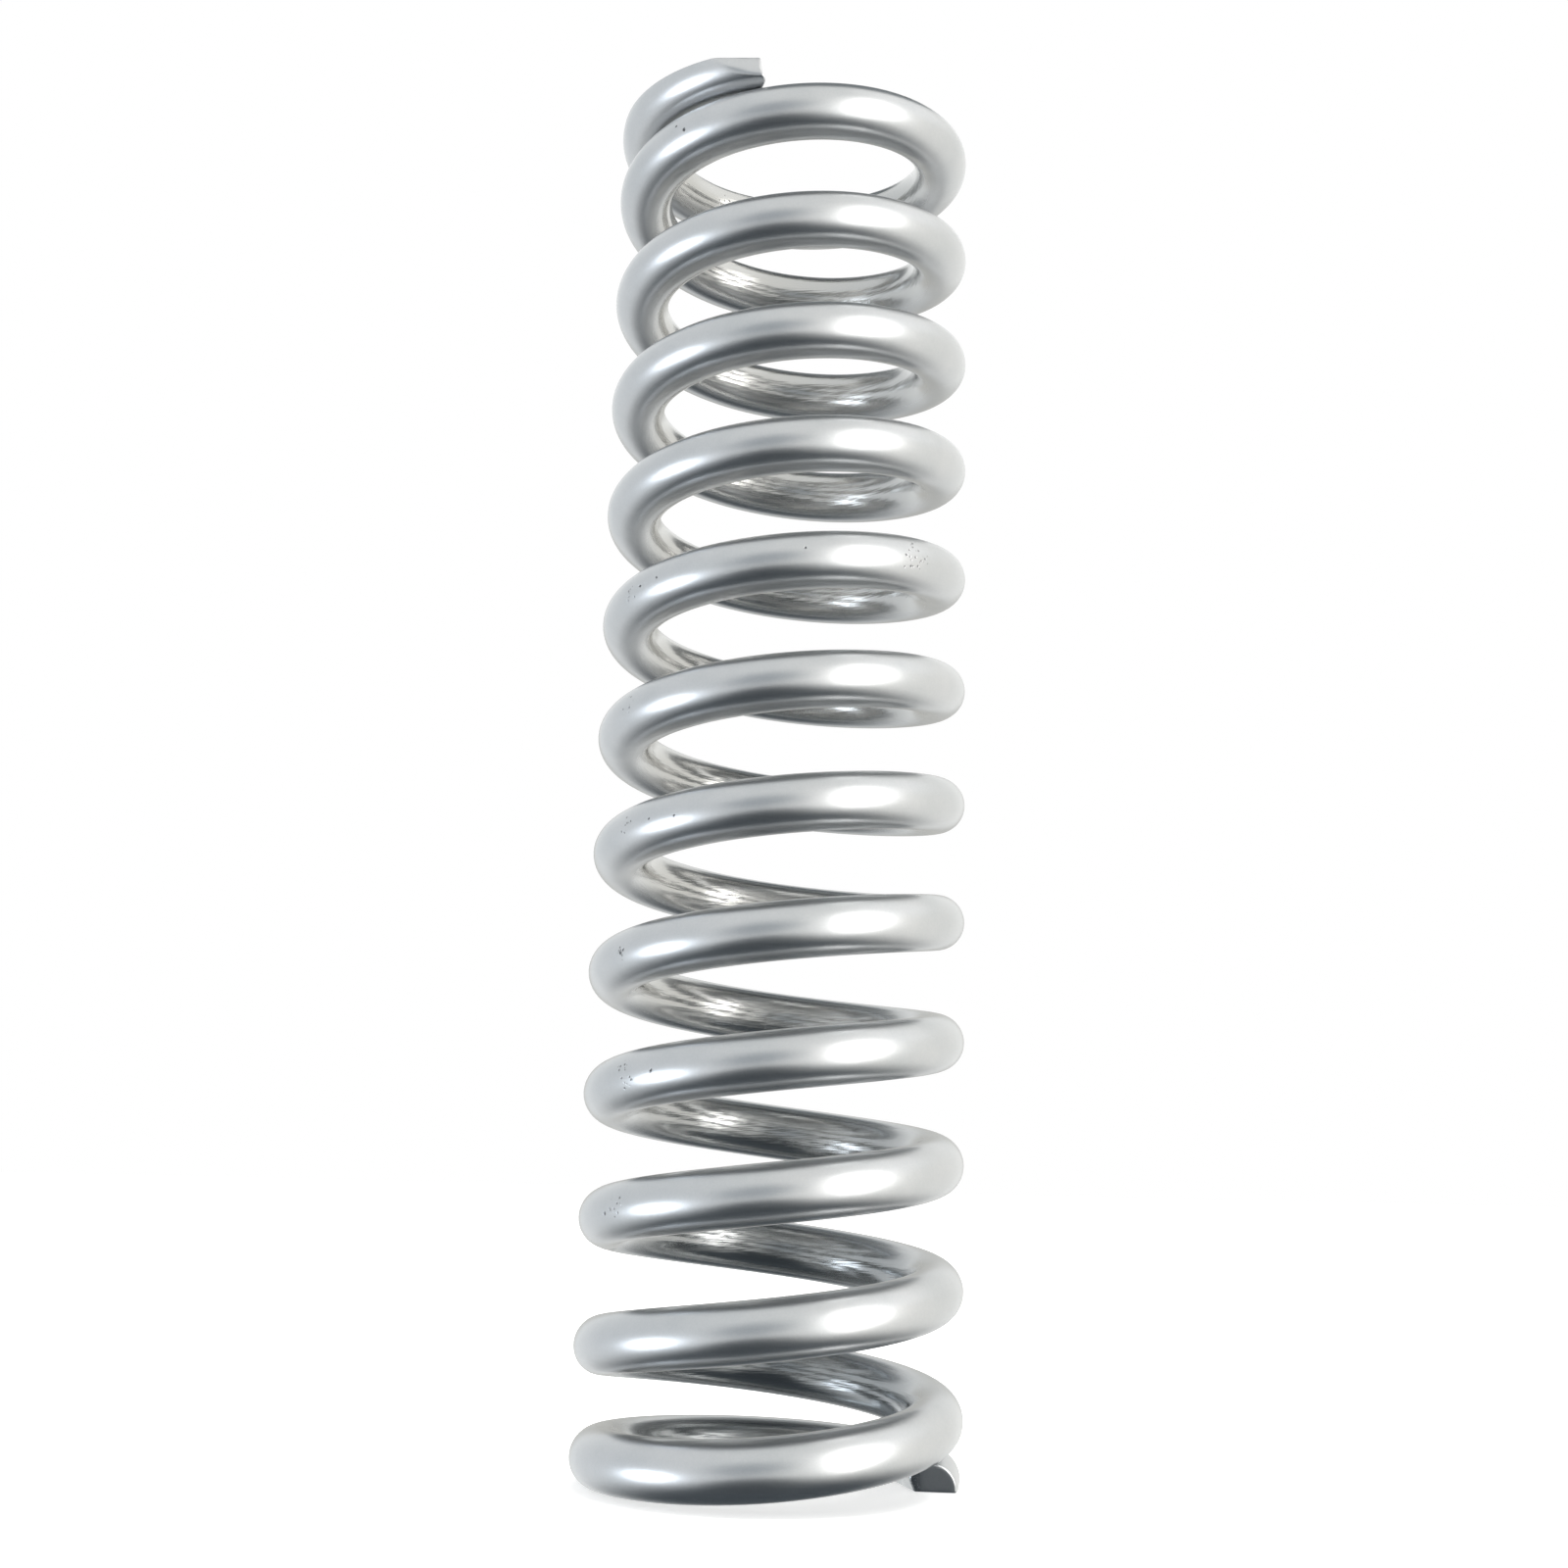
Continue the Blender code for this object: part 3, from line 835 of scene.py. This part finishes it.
def white_studio(looks):
    """The world: white for the eye, a studio for reflections, plain grey light for the rest."""
    world = bpy.data.worlds.new("white_studio")
    world.use_nodes = True
    tree = world.node_tree
    tree.nodes.clear()
    path = add_node(tree, "ShaderNodeLightPath")
    white = add_node(tree, "ShaderNodeBackground", None, {"Color": WHITE, "Strength": 1.0})
    mirrored = add_node(tree, "ShaderNodeBackground", None,
                        {"Color": mirrored_studio(tree, looks),
                         "Strength": looks.mirrored_strength})
    fill = add_node(tree, "ShaderNodeBackground", None,
                    {"Color": tuple(looks.fill), "Strength": 1.0})
    off_camera = add_node(tree, "ShaderNodeMixShader", None,
                          {0: mirrored_ray(tree, path), 1: fill, 2: mirrored})
    whole = add_node(tree, "ShaderNodeMixShader", None,
                     {0: path.outputs["Is Camera Ray"], 1: off_camera, 2: white})
    add_node(tree, "ShaderNodeOutputWorld", None, {"Surface": whole})
    return world


def matt_paper(looks):
    """Matt white paper: the eye sees it as white, with the spring's soft shadow kept."""
    material = bpy.data.materials.new("white_paper")
    material.use_nodes = True
    tree = material.node_tree
    tree.nodes.clear()
    path = add_node(tree, "ShaderNodeLightPath")
    matt = add_node(tree, "ShaderNodeBsdfDiffuse", None, {"Color": tuple(looks.paper)})
    seen = add_node(tree, "ShaderNodeMath", {"operation": "MAXIMUM"},
                    {0: path.outputs["Is Camera Ray"], 1: mirrored_ray(tree, path)})
    lift = add_node(tree, "ShaderNodeMath", {"operation": "MULTIPLY"}, {0: seen, 1: PAPER_LIFT})
    boost = add_node(tree, "ShaderNodeEmission", None, {"Color": WHITE, "Strength": lift})
    both = add_node(tree, "ShaderNodeAddShader", None, {0: matt, 1: boost})
    add_node(tree, "ShaderNodeOutputMaterial", None, {"Surface": both})
    material.cycles.emission_sampling = "NONE"
    return material


def overhead_softbox(looks):
    """The one lamp, which throws the spring's soft shadow on the floor."""
    lamp = bpy.data.lights.new("overhead_softbox", "AREA")
    lamp.shape = "SQUARE"
    lamp.size = OVERHEAD_SIDE
    lamp.energy = looks.overhead_power
    softbox = bpy.data.objects.new("overhead_softbox", lamp)
    softbox.location = OVERHEAD_PLACE
    softbox.rotation_euler = (SPRING_MIDDLE - OVERHEAD_PLACE).to_track_quat("-Z", "Y").to_euler()
    softbox.visible_glossy = False
    bpy.context.collection.objects.link(softbox)


def photo_camera():
    """The camera, at the photograph's place and with its lens."""
    lens = bpy.data.cameras.new("photo_camera")
    lens.sensor_width = CAMERA_SENSOR_MM
    lens.lens = CAMERA_FOCAL * CAMERA_SENSOR_MM / PHOTO_SIDE
    lens.shift_y = CAMERA_SHIFT / PHOTO_SIDE
    lens.clip_start, lens.clip_end = 0.01, 100.0
    camera = bpy.data.objects.new("photo_camera", lens)
    camera.matrix_world = camera_matrix()
    bpy.context.collection.objects.link(camera)
    return camera


class SCENE_OT_set_spring_stage(bpy.types.Operator):
    """Set the floor, background, studio light and camera"""
    bl_idname = "scene.set_spring_stage"
    bl_label = "Set Stage"
    bl_options = {"REGISTER", "UNDO"}

    def execute(self, context):
        scene = context.scene
        looks = scene.stage_looks

        floor = flat_sheet("paper_floor", looks.floor_side, looks.floor_side)
        floor.data.materials.append(matt_paper(looks))
        floor.location.z = -FLOOR_DROP
        floor.visible_glossy = False   # the photograph's paper isn't below the spring

        colours = {"left_softbox_face": looks.left_light, "right_softbox_face": looks.right_light,
                   "front_flag": looks.front_card, "table_front": looks.table_card}
        for name, card in CARDS.items():
            reflected_card(name, colours[name], **card)
        overhead_softbox(looks)
        scene.world = white_studio(looks)
        scene.camera = photo_camera()
        scene.view_settings.view_transform = "Standard"
        return {"FINISHED"}


class VIEW3D_PT_coil_spring(bpy.types.Panel):
    """Sizes, colours and building steps of the coilover spring"""
    bl_idname = "VIEW3D_PT_coil_spring"
    bl_label = "Coilover Spring"
    bl_space_type = "VIEW_3D"
    bl_region_type = "UI"
    bl_category = "Coil Spring"

    def draw(self, context):
        layout = self.layout
        for group in (context.scene.spring_sizes, context.scene.coat_looks,
                      context.scene.stage_looks):
            column = layout.column(align=True)
            for name in group.bl_rna.properties.keys():
                if name not in {"rna_type", "name"}:
                    column.prop(group, name)
        layout.operator(OBJECT_OT_wind_spring.bl_idname)
        layout.operator(SCENE_OT_set_spring_stage.bl_idname)


CLASSES = (SpringSizes, CoatLooks, StageLooks, OBJECT_OT_wind_spring,
           SCENE_OT_set_spring_stage, VIEW3D_PT_coil_spring)


def register():
    for cls in CLASSES:
        bpy.utils.register_class(cls)
    bpy.types.Scene.spring_sizes = bpy.props.PointerProperty(type=SpringSizes)
    bpy.types.Scene.coat_looks = bpy.props.PointerProperty(type=CoatLooks)
    bpy.types.Scene.stage_looks = bpy.props.PointerProperty(type=StageLooks)


def unregister():
    del bpy.types.Scene.spring_sizes, bpy.types.Scene.coat_looks, bpy.types.Scene.stage_looks
    for cls in reversed(CLASSES):
        bpy.utils.unregister_class(cls)


def main():
    register()
    bpy.ops.object.wind_spring()
    bpy.ops.scene.set_spring_stage()


if __name__ == "__main__":
    main()
